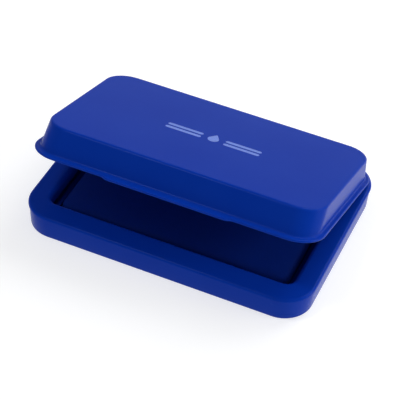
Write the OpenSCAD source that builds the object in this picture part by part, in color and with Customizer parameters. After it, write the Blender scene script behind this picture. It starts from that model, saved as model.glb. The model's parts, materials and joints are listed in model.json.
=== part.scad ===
// Hinged ink pad: a shallow tray under a bezel, a cloth-covered inking pad and a domed lid on two pins.
// Millimetres. The origin is the middle of the tray's underside; +X runs along the front edge,
// +Y runs to the hinge and +Z is up. The lid is drawn part open, at lid_open.

/* [Body] */
// Width of the body along its front
body_w = 106; // [92:0.5:130]
// Depth of the body from front to hinge side
body_d = 75.6; // [63:0.1:92]
// Radius of the body's corners seen from above
corner_r = 11.2; // [10.2:0.1:14]
// Height of the tray, up to the seam under the bezel
tray_h = 8; // [7:0.1:11]
// Thickness of the tray's wall
tray_wall = 1.8; // [1.4:0.1:2.4]
// Thickness of the tray's floor
floor_t = 1.2; // [0.9:0.1:1.5]
// How far the tray's wall leans in from its top to its bottom
tray_draft = 0.35; // [0.1:0.05:0.6]
// Rounding of the tray's bottom edge
foot_round = 0.5; // [0.3:0.1:1]
// Height of the ribs on the floor that the pan stands on
rib_h = 0.5; // [0.3:0.1:0.8]
// Thickness of those ribs
rib_t = 1.2; // [0.8:0.1:2]

/* [Bezel] */
// Thickness of the bezel's flat top
bezel_t = 1.4; // [1.2:0.1:2]
// How far the bezel's edge stands out over the tray's wall
bezel_overhang = 0.35; // [0.2:0.05:0.6]
// Rounding of the bezel's outer top edge
bezel_round = 0.9; // [0.5:0.1:1.1]
// Width of the bezel's face at the left and right
bezel_side = 7.75; // [7:0.05:11]
// Width of the bezel's face at the front and back
bezel_end = 8.8; // [8.6:0.05:12]
// Radius of the pad opening's corners
opening_r = 3.2; // [2.6:0.1:5]
// Thickness of the lip that turns down into the opening
lip_t = 1.2; // [0.8:0.1:1.6]
// How far that lip reaches down below the bezel's face
lip_depth = 4.2; // [3:0.1:4.8]
// Rounding of the lip's top edge
lip_round = 1; // [0.4:0.1:1.2]
// How far the locating skirt reaches down inside the tray
skirt_depth = 2; // [1:0.1:3]
// Thickness of the locating skirt
skirt_t = 1.1; // [0.8:0.1:1.6]

/* [Inking pad] */
// Width of the gutter between the lip and the cloth
gutter = 2.3; // [1.5:0.1:3.5]
// How far the cloth's face lies below the bezel's face
pad_drop = 2; // [1.4:0.1:2.4]
// Radius of the cloth's corners seen from above
pad_corner_r = 2.9; // [2.2:0.1:5]
// Rounding of the cloth's top edge
pad_shoulder = 1.9; // [1.2:0.1:2]
// Thickness of the cloth
cloth_t = 0.5; // [0.3:0.05:0.7]
// Thickness of the felt under the cloth
felt_t = 1.3; // [1:0.1:1.8]
// Thickness of the pan's floor and wall
pan_t = 0.7; // [0.5:0.1:1]
// Height of the pan
pan_h = 2.4; // [2:0.1:2.8]
// Width of the retainer ring's face in the gutter
retainer_w = 1.7; // [1.1:0.1:2.6]
// Thickness of the retainer ring
retainer_t = 0.9; // [0.6:0.1:1.2]

/* [Lid] */
// How far the lid is drawn open, in degrees
lid_open = 18; // [10:1:60]
// Height of the closed lid above the bezel's face
lid_h = 9.5; // [7.5:0.1:14]
// Thickness of the lid's top and wall
lid_wall = 1.2; // [1:0.1:1.5]
// Thickness of the lid's flange
flange_t = 0.9; // [0.7:0.1:1.2]
// How far the flange stands out from the foot of the wall at the sides
flange_reach = 1.7; // [1.4:0.1:2.6]
// The same at the front, where a fingertip goes
flange_reach_front = 2.2; // [1.8:0.1:2.4]
// The same at the hinge side
flange_reach_rear = 1.9; // [1.7:0.1:2.1]
// Gap from the flange's edge to the body's edge at the sides
flange_side_in = 0.6; // [0.4:0.1:1.5]
// The same gap at the front
flange_front_in = 1.9; // [1.3:0.1:2.4]
// The same gap at the hinge side
flange_rear_in = 2.9; // [2.7:0.1:3.1]
// How far the lid's side walls lean in from foot to top
lid_draft = 0.5; // [0.2:0.1:1]
// How far the lid's front wall leans in from foot to top
lid_draft_front = 4.3; // [1:0.1:4.4]
// How far the lid's rear wall leans in from foot to top
lid_draft_rear = 1.8; // [0.4:0.1:2]
// Radius of the corners of the lid's top
crown_r = 9; // [8:0.1:11]
// Rounding of the lid's top edge
crown_round = 0.7; // [0.5:0.1:1.3]
// Width of the finger lip in the middle of the front
finger_w = 47; // [30:1:60]
// How far the finger lip stands out past the flange
finger_out = 1.2; // [0.5:0.1:1.3]
// Depth of the inner lid above the lid's rim
liner_depth = 2.6; // [2:0.1:3.4]
// Thickness of the inner lid
liner_t = 0.9; // [0.7:0.1:1.2]
// Width and height of the seal's bead
seal_t = 1; // [0.7:0.1:1.1]

/* [Hinge] */
// Distance from the body's rear face to the hinge axis
hinge_in = 2.1; // [1.9:0.1:2.3]
// Distance from the middle of the body to the middle of each hinge
hinge_x = 34; // [24:0.5:36]
// Radius of the hinge pins
pin_r = 0.8; // [0.6:0.05:0.9]
// Radius of the ears on the tray
ear_r = 1.8; // [1.7:0.1:1.9]
// Width of each ear
ear_w = 3; // [2:0.1:5]
// Radius of the knuckles on the lid
knuckle_r = 1.6; // [1.5:0.1:1.7]
// Width of each knuckle
knuckle_w = 8; // [5:0.5:12]

/* [Clearances] */
// Gap between pieces that are assembled face to face
fit_gap = 0.12; // [0.08:0.01:0.2]
// Gap that the lid keeps from the bezel when it is shut
close_gap = 0.15; // [0.1:0.01:0.3]
// Gap that the flange keeps from the bezel when the lid lies right back
open_gap = 0.2; // [0.15:0.05:0.4]
// Radial gap of a pin in the knuckle that turns on it
running_gap = 0.05; // [0.02:0.01:0.1]
// Radial gap of a pin in the ears that hold it
held_gap = 0.02; // [0.01:0.01:0.03]
// Gap at each end of a knuckle and round each hinge
hinge_gap = 0.35; // [0.25:0.05:0.6]

/* [Hidden] */
$fn = 64;
OVER = 0.01;                                  // what a cut runs past a face

base_h = tray_h + bezel_t;                    // the bezel's face
tray_w = body_w - 2 * bezel_overhang;
tray_d = body_d - 2 * bezel_overhang;
tray_r = corner_r - bezel_overhang;
room_w = tray_w - 2 * (tray_draft + tray_wall);   // inside the tray's wall
room_d = tray_d - 2 * (tray_draft + tray_wall);
room_r = tray_r - tray_draft - tray_wall;

opening_w = body_w - 2 * bezel_side;
opening_d = body_d - 2 * bezel_end;

cloth_w = opening_w - 2 * gutter;
cloth_d = opening_d - 2 * gutter;
cloth_top = base_h - pad_drop;
pan_z = floor_t + rib_h + fit_gap;
pan_w = opening_w + 2 * lip_t + 2 * pan_t;    // the pan reaches out under the bezel's lip
pan_d = opening_d + 2 * lip_t + 2 * pan_t;
pan_r = opening_r + lip_t + pan_t;
stack_z = pan_z + pan_t + fit_gap;            // underside of the sponge
felt_z = cloth_top - cloth_t - fit_gap - felt_t;
core_w = cloth_w - 2 * (cloth_t + fit_gap);
core_d = cloth_d - 2 * (cloth_t + fit_gap);
core_r = pad_corner_r - cloth_t - fit_gap;

label_w = 60;
label_d = 16;
label_y = -20;
label_t = 0.2;
label_r = 2;

hinge_y = body_d / 2 - hinge_in;
hinge_z = base_h + (close_gap + flange_t + open_gap) / 2;
hinge_w = knuckle_w + 2 * hinge_gap + 2 * ear_w;      // one hinge, from ear to ear
hinge_half = hinge_w / 2 + hinge_gap;                 // half of the slot that it stands in
hinge_front = hinge_y - ear_r - hinge_gap;            // front of that slot

lid_z = base_h + close_gap;                           // the shut lid's rim
lid_top = base_h + lid_h;
flange_w = body_w - 2 * flange_side_in;
flange_front = -body_d / 2 + flange_front_in;
flange_rear = body_d / 2 - flange_rear_in;
flange_d = flange_rear - flange_front;
flange_y = (flange_rear + flange_front) / 2;
flange_r = corner_r - flange_side_in;
foot_x = flange_w / 2 - flange_reach;                 // outside of the lid's wall at its foot
foot_front = flange_front + flange_reach_front;
foot_rear = flange_rear - flange_reach_rear;
foot_r = flange_r - flange_reach;
top_x = foot_x - lid_draft;                           // outside of the lid's wall at its top
top_front = foot_front + lid_draft_front;
top_rear = foot_rear - lid_draft_rear;
liner_z = lid_z + liner_depth;
finger_ramp = 2;

// A flat rounded rectangle.
module rounded(w, d, r) {
    square([w - 2 * r, d], center = true);
    square([w, d - 2 * r], center = true);
    for (x = [-1, 1], y = [-1, 1])
        translate([x * (w / 2 - r), y * (d / 2 - r)]) circle(r);
}

// A level slab of that outline.
module slab(w, d, r, h) {
    linear_extrude(height = h) rounded(w, d, r);
}

// Sweeps a cross-section round that outline. In the cross-section x = 0 is the outline, inward is
// negative, and y is the height.
module rim(w, d, r) {
    for (side = [0:3]) {
        across = side % 2 == 0 ? w : d;
        along = side % 2 == 0 ? d : w;
        rotate([0, 0, 90 * side]) {
            translate([across / 2 - r, along / 2 - r, 0])
                rotate_extrude(angle = 90) translate([r, 0]) children();
            translate([across / 2, along / 2 - r, 0])
                rotate([90, 0, 0]) linear_extrude(height = along - 2 * r) children();
        }
    }
}

// Turns a piece of the lid about the hinge from shut to where it is drawn.
module opened() {
    translate([0, hinge_y, hinge_z])
        rotate([-lid_open, 0, 0])
            translate([0, -hinge_y, -hinge_z]) children();
}

// A round bar along X about the hinge axis.
module hinge_bar(x, r, length) {
    translate([x - length / 2, hinge_y, hinge_z])
        rotate([0, 90, 0]) cylinder(r = r, h = length);
}

// The slot through the bezel that a hinge stands in, open at the back.
module hinge_slot(x, z, h) {
    translate([x - hinge_half, hinge_front, z])
        cube([2 * hinge_half, body_d, h]);
}

module base_tray() {
    wall = tray_wall + tray_draft;
    color("midnightblue")
    difference() {
        union() {
            rim(tray_w, tray_d, tray_r) {
                polygon([[-wall, 0], [-tray_draft - foot_round, 0], [-tray_draft, foot_round],
                         [0, tray_h], [-wall, tray_h]]);
                translate([-tray_draft - foot_round, foot_round]) circle(foot_round);
            }
            slab(room_w + 2 * OVER, room_d + 2 * OVER, room_r + OVER, floor_t);
            for (x = [-3:3])
                translate([x * pan_w / 8 - rib_t / 2, -pan_d / 2 + pan_r, floor_t - OVER])
                    cube([rib_t, pan_d - 2 * pan_r, rib_h + OVER]);
            for (side = [-1, 1]) tray_ears(side * hinge_x);
        }
        translate([0, label_y, -OVER])
            slab(label_w + 2 * fit_gap, label_d + 2 * fit_gap, label_r + fit_gap, label_t + 2 * OVER);
        for (side = [-1, 1])
            hinge_bar(side * hinge_x, pin_r + held_gap, hinge_w + 2 * OVER);
    }
}

// The two ears that hold one pin, on a root that comes up from the tray's rear wall.
module tray_ears(x) {
    for (side = [-1, 1]) {
        ear_x = x + side * (hinge_w - ear_w) / 2;
        hinge_bar(ear_x, ear_r, ear_w);
        translate([ear_x - ear_w / 2, hinge_y - ear_r, tray_h - skirt_depth])
            cube([ear_w, 2 * ear_r - hinge_gap, hinge_z - tray_h + skirt_depth - pin_r - held_gap - OVER]);
    }
}

module bezel_frame() {
    lip_x = lip_t - lip_round;
    skirt_w = room_w - 2 * fit_gap;
    skirt_d = room_d - 2 * fit_gap;
    color("mediumblue")
    difference() {
        union() {
            difference() {
                union() {
                    rim(body_w, body_d, corner_r) {
                        polygon([[-corner_r / 2, tray_h + fit_gap / 4], [0, tray_h + fit_gap / 4],
                                 [0, base_h - bezel_round], [-bezel_round, base_h],
                                 [-corner_r / 2, base_h]]);
                        intersection() {
                            translate([-bezel_round, base_h - bezel_round]) circle(bezel_round);
                            translate([-bezel_round, base_h - bezel_round]) square(bezel_round);
                        }
                    }
                    translate([0, 0, tray_h + fit_gap / 4])
                        slab(body_w - corner_r, body_d - corner_r, corner_r / 2, bezel_t - fit_gap / 4);
                }
                translate([0, 0, tray_h - OVER])
                    slab(opening_w + 2 * lip_round, opening_d + 2 * lip_round,
                         opening_r + lip_round, bezel_t + 2 * OVER);
            }
            rim(opening_w + 2 * lip_t, opening_d + 2 * lip_t, opening_r + lip_t) {
                polygon([[-lip_t, base_h - lip_depth], [0, base_h - lip_depth],
                         [0, base_h], [-lip_x, base_h], [-lip_t, base_h - lip_round]]);
                intersection() {
                    translate([-lip_x, base_h - lip_round]) circle(lip_round);
                    translate([-lip_t, base_h - lip_round]) square([lip_t, lip_round]);
                }
            }
            rim(skirt_w, skirt_d, room_r - fit_gap)
                translate([-skirt_t, tray_h - skirt_depth]) square([skirt_t, skirt_depth + bezel_t / 2]);
        }
        for (side = [-1, 1])
            hinge_slot(side * hinge_x, tray_h - skirt_depth - OVER, skirt_depth + bezel_t + 2 * OVER);
    }
}

module pad_pan() {
    color("lightslategray")
    difference() {
        translate([0, 0, pan_z]) slab(pan_w, pan_d, pan_r, pan_h);
        translate([0, 0, pan_z + pan_t])
            slab(pan_w - 2 * pan_t, pan_d - 2 * pan_t, pan_r - pan_t, pan_h);
    }
}

module ink_sponge() {
    color("darkslateblue")
    translate([0, 0, stack_z])
        slab(core_w, core_d, core_r, felt_z - fit_gap - stack_z);
}

module felt_layer() {
    cut = pad_shoulder - cloth_t;
    color("slateblue")
    translate([0, 0, felt_z])
        slab(core_w - 2 * cut, core_d - 2 * cut, core_r, felt_t);
}

// The cloth is drawn over the sponge and turns out under the retainer ring.
module pad_cloth() {
    hem_w = cloth_w + 2 * (retainer_w - fit_gap);
    hem_d = cloth_d + 2 * (retainer_w - fit_gap);
    hem_r = pad_corner_r + retainer_w - fit_gap;
    hem_z = pan_z + pan_t + fit_gap;
    shoulder = pad_shoulder;
    color("navy") {
        rim(cloth_w, cloth_d, pad_corner_r) {
            translate([-cloth_t, hem_z]) square([cloth_t, cloth_top - shoulder - hem_z]);
            intersection() {
                translate([-shoulder, cloth_top - shoulder])
                    difference() {
                        circle(shoulder);
                        circle(shoulder - cloth_t);
                    }
                translate([-shoulder, cloth_top - shoulder]) square(shoulder);
            }
        }
        translate([0, 0, cloth_top - cloth_t])
            slab(cloth_w - 2 * shoulder, cloth_d - 2 * shoulder, pad_corner_r - shoulder, cloth_t);
        rim(hem_w, hem_d, hem_r)
            translate([-retainer_w, hem_z]) square([retainer_w, cloth_t]);
    }
}

module cloth_retainer() {
    ring_w = cloth_w + 2 * (fit_gap + retainer_w);
    ring_d = cloth_d + 2 * (fit_gap + retainer_w);
    color("darkblue")
    rim(ring_w, ring_d, pad_corner_r + fit_gap + retainer_w)
        translate([-retainer_w, stack_z + cloth_t + fit_gap]) square([retainer_w, retainer_t]);
}

module hinge_pin(x) {
    color("silver") hinge_bar(x, pin_r, hinge_w);
}

module hinge_pin_left() { hinge_pin(-hinge_x); }

module hinge_pin_right() { hinge_pin(hinge_x); }

module base_label() {
    color("whitesmoke")
    translate([0, label_y, OVER]) slab(label_w, label_d, label_r, label_t);
}

// A thin level layer of the lid's plan, from its front, rear and half width.
module lid_layer(front, rear, half, r, z) {
    translate([0, (front + rear) / 2, z]) slab(2 * half, rear - front, r, OVER);
}

// The lid's dome as a solid, made smaller all round by inset.
module dome(inset, low, round_off) {
    hull() {
        lid_layer(foot_front + inset, foot_rear - inset, foot_x - inset, foot_r - inset, low);
        lid_layer(top_front + inset, top_rear - inset, top_x - inset, crown_r - inset,
                  lid_top - inset - round_off - OVER);
        lid_layer(top_front + inset + round_off, top_rear - inset - round_off, top_x - inset - round_off,
                  crown_r - inset - round_off, lid_top - inset - OVER);
    }
}

module lid_shell() {
    color("royalblue")
    opened() {
        difference() {
            union() {
                dome(0, lid_z + flange_t / 2, crown_round / 2);
                translate([0, flange_y, 0]) {
                    translate([0, 0, lid_z])
                        slab(flange_w - flange_t, flange_d - flange_t, flange_r - flange_t / 2, flange_t);
                    rim(flange_w, flange_d, flange_r)
                        translate([-flange_t / 2, lid_z + flange_t / 2]) circle(flange_t / 2);
                }
                finger_lip();
            }
            dome(lid_wall, lid_z - OVER, crown_round / 2);
            for (side = [-1, 1])
                hinge_slot(side * hinge_x, lid_z - OVER, flange_t + 2 * OVER);
        }
        for (side = [-1, 1]) lid_knuckle(side * hinge_x);
    }
}

// A shallow lip for a fingertip, with sloping ends, in the middle of the lid's front.
module finger_lip() {
    translate([0, flange_front + flange_t, lid_z])
        linear_extrude(height = flange_t)
            polygon([[-finger_w / 2, 0], [-finger_w / 2, -flange_t],
                     [-finger_w / 2 + finger_ramp, -flange_t - finger_out],
                     [finger_w / 2 - finger_ramp, -flange_t - finger_out],
                     [finger_w / 2, -flange_t], [finger_w / 2, 0]]);
}

// One knuckle and the web that joins it to the lid's rear wall.
module lid_knuckle(x) {
    difference() {
        union() {
            hinge_bar(x, knuckle_r, knuckle_w);
            translate([x - knuckle_w / 2, hinge_front - flange_t, lid_z])
                cube([knuckle_w, hinge_y - hinge_front + flange_t, flange_t]);
        }
        hinge_bar(x, pin_r + running_gap, knuckle_w + 2 * OVER);
    }
}

// The inner lid: a plate across the lid's wall, held off the lid's top by a ring and two ribs.
module lid_liner() {
    bay_h = lid_top - lid_wall - crown_round / 2 - lid_z;
    lean = (liner_depth + liner_t) / bay_h;                 // share of the wall's lean at the plate's top
    inset = lid_wall + fit_gap;
    half = foot_x - lean * lid_draft - inset;
    front = foot_front + lean * lid_draft_front + inset;
    rear = foot_rear - lean * lid_draft_rear - inset;
    corner = foot_r + lean * (crown_r - foot_r) - inset;
    ring_in = lid_draft_front + liner_t;  // how far the ring stands inside the plate's edge
    ring_h = lid_top - lid_wall - fit_gap - liner_z - liner_t;
    color("steelblue")
    opened()
    translate([0, (front + rear) / 2, liner_z]) {
        slab(2 * half, rear - front, corner, liner_t);
        translate([0, 0, liner_t - OVER]) {
            rim(2 * (half - ring_in), rear - front - 2 * ring_in, corner - ring_in / 2)
                translate([-liner_t, 0]) square([liner_t, ring_h]);
            for (side = [-1, 1])
                translate([side * half / 3 - liner_t / 2, ring_in + (front - rear + liner_t) / 2, 0])
                    cube([liner_t, rear - front - 2 * ring_in - liner_t, ring_h]);
        }
    }
}

// The soft bead under the inner lid that closes on the bezel round the opening.
module lid_seal() {
    reach = lip_round / 2 + seal_t;                          // the bead closes where the lip's rounding ends
    bead_w = opening_w + 2 * reach;
    bead_d = opening_d + 2 * reach;
    bead_r = opening_r + (reach - seal_t) * sqrt(2) / (sqrt(2) - 1) + seal_t;   // still clears the opening
    bead_h = liner_z - lid_z;
    color("dimgray")
    opened()
    rim(bead_w, bead_d, bead_r) {
        translate([-seal_t, lid_z + seal_t / 2]) square([seal_t, bead_h - seal_t / 2 - OVER]);
        translate([-seal_t / 2, lid_z + seal_t / 2]) circle(seal_t / 2);
    }
}

base_tray();
bezel_frame();
pad_pan();
ink_sponge();
felt_layer();
pad_cloth();
cloth_retainer();
hinge_pin_left();
hinge_pin_right();
base_label();
lid_shell();
lid_liner();
lid_seal();
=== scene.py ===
"""A hinged ink pad: tray, bezel, cloth-covered inking pad and a domed lid held part open."""
import json
import logging
import math
from dataclasses import dataclass, field, replace
from enum import Enum
from typing import Callable, Optional, Sequence

import bmesh
import bpy
from mathutils import Matrix, Vector


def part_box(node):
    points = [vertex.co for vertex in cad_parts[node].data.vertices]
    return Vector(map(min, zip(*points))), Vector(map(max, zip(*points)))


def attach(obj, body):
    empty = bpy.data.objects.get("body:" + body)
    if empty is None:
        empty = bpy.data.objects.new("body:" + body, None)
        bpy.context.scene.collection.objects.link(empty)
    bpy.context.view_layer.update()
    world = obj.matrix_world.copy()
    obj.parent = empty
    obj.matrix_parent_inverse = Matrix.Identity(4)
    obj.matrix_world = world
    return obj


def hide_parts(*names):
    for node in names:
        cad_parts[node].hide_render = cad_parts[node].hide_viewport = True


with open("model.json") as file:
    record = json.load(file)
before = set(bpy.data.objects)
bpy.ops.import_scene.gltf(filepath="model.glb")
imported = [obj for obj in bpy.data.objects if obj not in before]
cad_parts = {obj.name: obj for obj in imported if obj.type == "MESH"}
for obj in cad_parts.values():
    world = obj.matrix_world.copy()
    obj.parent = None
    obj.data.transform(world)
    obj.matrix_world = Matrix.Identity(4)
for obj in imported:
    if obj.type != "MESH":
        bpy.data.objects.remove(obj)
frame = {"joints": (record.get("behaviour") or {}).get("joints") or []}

LOG = logging.getLogger("ink_pad")
MM = 0.001
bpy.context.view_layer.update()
BODY_CORNER = 11.2 * MM    # radius of the body's corners seen from above
BEZEL_T = 1.4 * MM         # thickness of the bezel's flat top
CORNER_STEPS = 18          # pieces in each quarter turn of an outline
LONG_STEPS = 72            # pieces along the front and the back of an outline
SHORT_STEPS = 20           # pieces along each end of an outline
ARC_STEPS = 8              # pieces in a rounded edge
LATHE_STEPS = 48           # facets round a turned piece
SHARP_DEG = 32             # an edge that turns by more than this stays sharp
LEAST_RADIUS = 0.05 * MM   # the smallest corner that an outline is drawn in to
WELD = 0.001 * MM          # points closer than this become one
FIT_GAP = 0.12 * MM        # gap between pieces that are assembled face to face
PAST = 5 * MM              # how far a cut runs past an open side


class Slot(Enum):
    """Material slots that the pieces take their finish from."""

    CASE = "case_plastic"
    PAN = "pan_plastic"
    SPONGE = "sponge"
    FELT = "felt"
    CLOTH = "inked_cloth"
    PIN = "pin_steel"
    LABEL = "label"
    LINER = "liner_plastic"
    SEAL = "seal_rubber"


class Side(Enum):
    """The two hinges, by the sign of their place along X."""

    LEFT = -1
    RIGHT = 1


# ---------------------------------------------------------------- outlines and lofts

@dataclass(frozen=True)
class Plan:
    """A rounded rectangle seen from above, in metres.

    Args:
        half: half of its width, along X.
        front: its lowest Y.
        rear: its highest Y.
        radius: the radius of its corners.
    """

    half: float
    front: float
    rear: float
    radius: float

    def inset(self, by: float) -> "Plan":
        """The outline drawn in all round by a distance, or let out by a negative one."""
        return Plan(self.half - by, self.front + by, self.rear - by, max(self.radius - by, LEAST_RADIUS))

    def mix(self, other: "Plan", share: float) -> "Plan":
        """The outline a share of the way from this one to another.

        Args:
            other: the outline at share 1.
            share: from 0 to 1.

        Returns:
            The outline in between.
        """
        def part(a: float, b: float) -> float:
            """The value a share of the way from a to b."""
            return a + (b - a) * share
        return Plan(part(self.half, other.half), part(self.front, other.front),
                    part(self.rear, other.rear), part(self.radius, other.radius))

    def ring(self, z: float, lip: Optional[Callable[[float], float]] = None) -> list[Vector]:
        """The outline's points at one height, always the same number and in the same order.

        Args:
            z: the height.
            lip: how far the front edge stands out at each x, if it does.

        Returns:
            The points, anticlockwise from the front edge's left end.
        """
        r = self.radius
        left, right = -self.half + r, self.half - r
        low, high = self.front + r, self.rear - r
        points: list[tuple[float, float]] = []
        runs = (
            ((left, self.front), (right, self.front), LONG_STEPS, (right, low), -90),
            ((self.half, low), (self.half, high), SHORT_STEPS, (right, high), 0),
            ((right, self.rear), (left, self.rear), LONG_STEPS, (left, high), 90),
            ((-self.half, high), (-self.half, low), SHORT_STEPS, (left, low), 180),
        )
        for start, end, steps, centre, turn in runs:
            for i in range(steps):
                t = i / steps
                points.append((start[0] + (end[0] - start[0]) * t, start[1] + (end[1] - start[1]) * t))
            for i in range(CORNER_STEPS):
                a = math.radians(turn + 90 * i / CORNER_STEPS)
                points.append((centre[0] + r * math.cos(a), centre[1] + r * math.sin(a)))
        middle = (self.front + self.rear) / 2
        return [Vector((x, y - (lip(x) if lip and y < middle else 0.0), z)) for x, y in points]


@dataclass
class Loft:
    """A skin drawn through rings of points, one after another."""

    rings: list[list[Vector]] = field(default_factory=list)

    def add(self, plan: Plan, z: float, lip: Optional[Callable[[float], float]] = None) -> "Loft":
        """Adds the ring of an outline at a height, and returns the loft."""
        self.rings.append(plan.ring(z, lip))
        return self

    def edge(self, first: tuple[Plan, float], corner: tuple[Plan, float], last: tuple[Plan, float],
             lip: Optional[Callable[[float], float]] = None) -> "Loft":
        """Adds a rounded edge from one outline to another, drawn towards a corner between them.

        Args:
            first: outline and height where the rounding starts.
            corner: outline and height of the sharp corner that it rounds.
            last: outline and height where it ends.
            lip: how far the front edge stands out at each x, if it does.

        Returns:
            The loft.
        """
        for i in range(ARC_STEPS + 1):
            t = i / ARC_STEPS
            keep = (1 - t) ** 2 + t ** 2 + 2 * t * (1 - t) * math.sqrt(0.5)
            pull = 2 * t * (1 - t) * math.sqrt(0.5) / keep
            slide = t ** 2 / keep / (1 - pull)
            plan = first[0].mix(last[0], slide).mix(corner[0], pull)
            z = first[1] + (last[1] - first[1]) * slide
            self.add(plan, z + (corner[1] - z) * pull, lip)
        return self

    def side(self, plan: Plan, low: float, high: float, soft: float) -> "Loft":
        """Adds an upright side, with its bottom and top edges rounded.

        Args:
            plan: the side's outline.
            low: height of its bottom.
            high: height of its top.
            soft: rounding of both edges.

        Returns:
            The loft.
        """
        self.edge((plan.inset(soft), low), (plan, low), (plan, low + soft))
        return self.edge((plan, high - soft), (plan, high), (plan.inset(soft), high))

    def mesh(self, name: str, closed: bool = False) -> bpy.types.Object:
        """Makes the skin's object.

        Args:
            name: the object's name.
            closed: True if the last ring joins the first; otherwise both ends are capped.

        Returns:
            The object, smooth-shaded, with its sharp edges marked.
        """
        bm = bmesh.new()
        rows = [[bm.verts.new(p) for p in ring] for ring in self.rings]
        pairs = list(zip(rows, rows[1:])) + ([(rows[-1], rows[0])] if closed else [])
        for low, high in pairs:
            for i in range(len(low)):
                j = (i + 1) % len(low)
                bm.faces.new((low[i], low[j], high[j], high[i]))
        if not closed:
            bm.faces.new(list(reversed(rows[0])))
            bm.faces.new(rows[-1])
        bmesh.ops.remove_doubles(bm, verts=bm.verts, dist=WELD)
        bmesh.ops.recalc_face_normals(bm, faces=bm.faces)
        return object_from(bm, name)


def object_from(bm: bmesh.types.BMesh, name: str) -> bpy.types.Object:
    """Turns a bmesh into an object in the scene.

    Args:
        bm: the mesh; it is freed.
        name: the object's name.

    Returns:
        The object.
    """
    data = bpy.data.meshes.new(name)
    bm.to_mesh(data)
    bm.free()
    shade(data)
    made = bpy.data.objects.new(name, data)
    bpy.context.scene.collection.objects.link(made)
    return made


def shade(data: bpy.types.Mesh) -> None:
    """Shades a mesh smooth, with its sharp edges kept."""
    data.shade_smooth()
    data.set_sharp_from_angle(angle=math.radians(SHARP_DEG))


def bake_modifiers(made: bpy.types.Object) -> None:
    """Applies every modifier on an object, so that its mesh is its final shape."""
    bpy.context.view_layer.update()
    graph = bpy.context.evaluated_depsgraph_get()
    data = bpy.data.meshes.new_from_object(made.evaluated_get(graph))
    made.modifiers.clear()
    old, made.data = made.data, data
    bpy.data.meshes.remove(old)


def cut(made: bpy.types.Object, tool: bpy.types.Object) -> None:
    """Cuts one object's shape out of another, and drops the tool.

    Args:
        made: the object that is cut.
        tool: the shape to cut out of it.
    """
    step = made.modifiers.new("cut", "BOOLEAN")
    step.operation = "DIFFERENCE"
    step.solver = "EXACT"
    step.object = tool
    bake_modifiers(made)
    bpy.data.objects.remove(tool)
    shade(made.data)


def block(name: str, low: Sequence[float], high: Sequence[float], bevel: float = 0.0) -> bpy.types.Object:
    """A block between two corners.

    Args:
        name: the object's name.
        low: its lowest corner.
        high: its highest corner.
        bevel: rounding of its edges, if they are rounded.

    Returns:
        The object.
    """
    bm = bmesh.new()
    bmesh.ops.create_cube(bm, size=1)
    for v in bm.verts:
        v.co = Vector([low[i] + (v.co[i] + 0.5) * (high[i] - low[i]) for i in range(3)])
    if bevel:
        bmesh.ops.bevel(bm, geom=bm.edges[:], offset=bevel, segments=3, profile=0.5, affect="EDGES")
    return object_from(bm, name)


def round_bar(name: str, centre: Vector, half: float, radius: float, soft: float) -> bpy.types.Object:
    """A round bar along X with eased ends.

    Args:
        name: the object's name.
        centre: the middle of the bar.
        half: half of its length.
        radius: its radius.
        soft: rounding of its ends.

    Returns:
        The object.
    """
    ease = 0.3 * soft
    bm = bmesh.new()
    rows = []
    for along, r in ((-half, radius - soft), (-half + ease, radius - ease), (-half + soft, radius),
                     (half - soft, radius), (half - ease, radius - ease), (half, radius - soft)):
        turns = [2 * math.pi * i / LATHE_STEPS for i in range(LATHE_STEPS)]
        rows.append([bm.verts.new(centre + Vector((along, r * math.cos(a), r * math.sin(a)))) for a in turns])
    for low, high in zip(rows, rows[1:]):
        for i in range(LATHE_STEPS):
            j = (i + 1) % LATHE_STEPS
            bm.faces.new((low[i], low[j], high[j], high[i]))
    bm.faces.new(list(reversed(rows[0])))
    bm.faces.new(rows[-1])
    bmesh.ops.recalc_face_normals(bm, faces=bm.faces)
    return object_from(bm, name)


def join(parts: Sequence[bpy.types.Object], name: str) -> bpy.types.Object:
    """Joins several objects into one.

    Args:
        parts: the objects; all but the first are dropped.
        name: the joined object's name.

    Returns:
        The joined object.
    """
    first = parts[0]
    bm = bmesh.new()
    for part in parts:
        bm.from_mesh(part.data)
    for part in parts[1:]:
        bpy.data.objects.remove(part)
    bm.to_mesh(first.data)
    bm.free()
    first.name = name
    return first


# ---------------------------------------------------------------- finishes

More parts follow.
